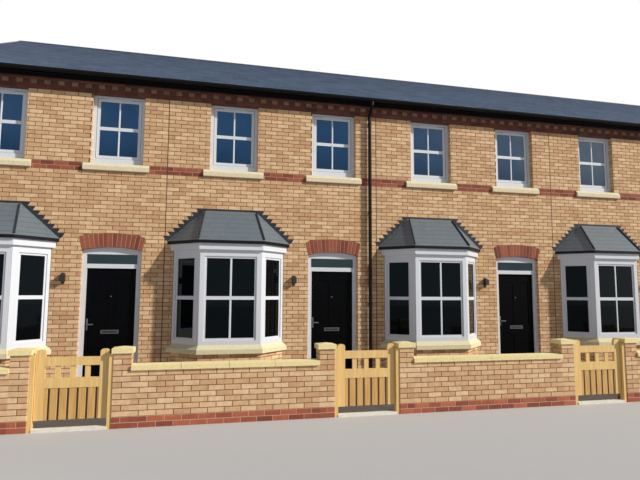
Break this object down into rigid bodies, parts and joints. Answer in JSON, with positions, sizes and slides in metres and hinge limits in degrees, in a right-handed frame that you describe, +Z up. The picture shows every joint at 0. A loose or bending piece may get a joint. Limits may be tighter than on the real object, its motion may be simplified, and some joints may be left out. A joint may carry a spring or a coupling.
{
  "type": "terraced house row",
  "caption": "Row of two-storey brick terraced houses with canted bays, stepped lead, dentil eaves, slate roof, front doors and low garden walls with timber gates.",
  "frame": {"origin": "under the middle of the row, on the ground plane that the walls stand on", "axes": "+X runs along the row to the right as seen from the street, +Y runs back from the street, +Z is up"},
  "size_m": [20.31, 12.197, 8.3513],
  "materials": {
    "buff_brick": "fired brick in sand mortar",
    "red_brick": "fired brick in sand mortar",
    "plain_brick": "fired brick",
    "concrete": "floated concrete",
    "timber_floor": "boarded",
    "slate": "split slate",
    "roof_timber": "sawn",
    "ridge_clay": "matt fired clay",
    "black_plastic": "satin",
    "white_plastic": "satin",
    "glass": "float glass",
    "cast_stone": "fine cast",
    "roof_sheet": "matt sheet",
    "lead": "dull",
    "black_metal": "satin",
    "door_paint": "satin",
    "door_metal": "polished",
    "gate_timber": "stained"
  },
  "bodies": {
    "row": {"front_wall_piers": "buff_brick", "front_wall_middle": "buff_brick", "door_arches": "red_brick", "string_course": "red_brick", "eaves_cornice": "red_brick", "cornice_dentils": "buff_brick", "gable_wall": "buff_brick", "party_walls": "plain_brick", "back_wall": "buff_brick", "ground_floor": "concrete", "front_floor_edges": "concrete", "first_floor": "timber_floor", "roof_slates": "slate", "roof_deck": "roof_timber", "ridge_tiles": "ridge_clay", "verge_caps": "black_plastic", "eaves_boards": "black_plastic", "gutters": "black_plastic", "downpipes": "black_plastic", "window_frames": "white_plastic", "window_glass": "glass", "window_sills": "cast_stone", "bay_plinths": "buff_brick", "bay_sills": "cast_stone", "bay_frames": "white_plastic", "bay_fascias": "white_plastic", "bay_roofs": "roof_sheet", "bay_leadwork": "lead", "door_frames": "white_plastic", "wall_lanterns": "black_metal", "garden_walls": "buff_brick", "garden_piers": "buff_brick", "garden_copings": "cast_stone", "gate_posts": "gate_timber", "gate_thresholds": "cast_stone"},
    "front_door_1": {"door_1": "door_paint", "door_1_furniture": "door_metal"},
    "front_door_2": {"door_2": "door_paint", "door_2_furniture": "door_metal"},
    "front_door_3": {"door_3": "door_paint", "door_3_furniture": "door_metal"},
    "front_door_4": {"door_4": "door_paint", "door_4_furniture": "door_metal"},
    "front_door_5": {"door_5": "door_paint", "door_5_furniture": "door_metal"},
    "garden_gate_1": {"gate_1": "gate_timber"},
    "garden_gate_2": {"gate_2": "gate_timber"},
    "garden_gate_3": {"gate_3": "gate_timber"},
    "garden_gate_4": {"gate_4": "gate_timber"},
    "garden_gate_5": {"gate_5": "gate_timber"}
  },
  "joints": [
    {"name": "door_1_hinge", "type": "hinge", "parent": "row", "child": "front_door_1", "pos_m": [-6.5125, -3.5815, 1.199], "axis": [0, 0, -1], "range_deg": [0, 90]},
    {"name": "door_2_hinge", "type": "hinge", "parent": "row", "child": "front_door_2", "pos_m": [-2.4625, -3.5815, 1.199], "axis": [0, 0, -1], "range_deg": [0, 90]},
    {"name": "door_3_hinge", "type": "hinge", "parent": "row", "child": "front_door_3", "pos_m": [1.5875, -3.5815, 1.199], "axis": [0, 0, -1], "range_deg": [0, 90]},
    {"name": "door_4_hinge", "type": "hinge", "parent": "row", "child": "front_door_4", "pos_m": [5.6375, -3.5815, 1.199], "axis": [0, 0, -1], "range_deg": [0, 90]},
    {"name": "door_5_hinge", "type": "hinge", "parent": "row", "child": "front_door_5", "pos_m": [9.6875, -3.5815, 1.199], "axis": [0, 0, -1], "range_deg": [0, 90]},
    {"name": "gate_1_hinge", "type": "hinge", "parent": "row", "child": "garden_gate_1", "pos_m": [-7.463, -5.9615, 0.586], "axis": [0, 0, 1], "range_deg": [0, 90]},
    {"name": "gate_2_hinge", "type": "hinge", "parent": "row", "child": "garden_gate_2", "pos_m": [-3.413, -5.9615, 0.586], "axis": [0, 0, 1], "range_deg": [0, 90]},
    {"name": "gate_3_hinge", "type": "hinge", "parent": "row", "child": "garden_gate_3", "pos_m": [0.637, -5.9615, 0.586], "axis": [0, 0, 1], "range_deg": [0, 90]},
    {"name": "gate_4_hinge", "type": "hinge", "parent": "row", "child": "garden_gate_4", "pos_m": [4.687, -5.9615, 0.586], "axis": [0, 0, 1], "range_deg": [0, 90]},
    {"name": "gate_5_hinge", "type": "hinge", "parent": "row", "child": "garden_gate_5", "pos_m": [8.737, -5.9615, 0.586], "axis": [0, 0, 1], "range_deg": [0, 90]}
  ]
}
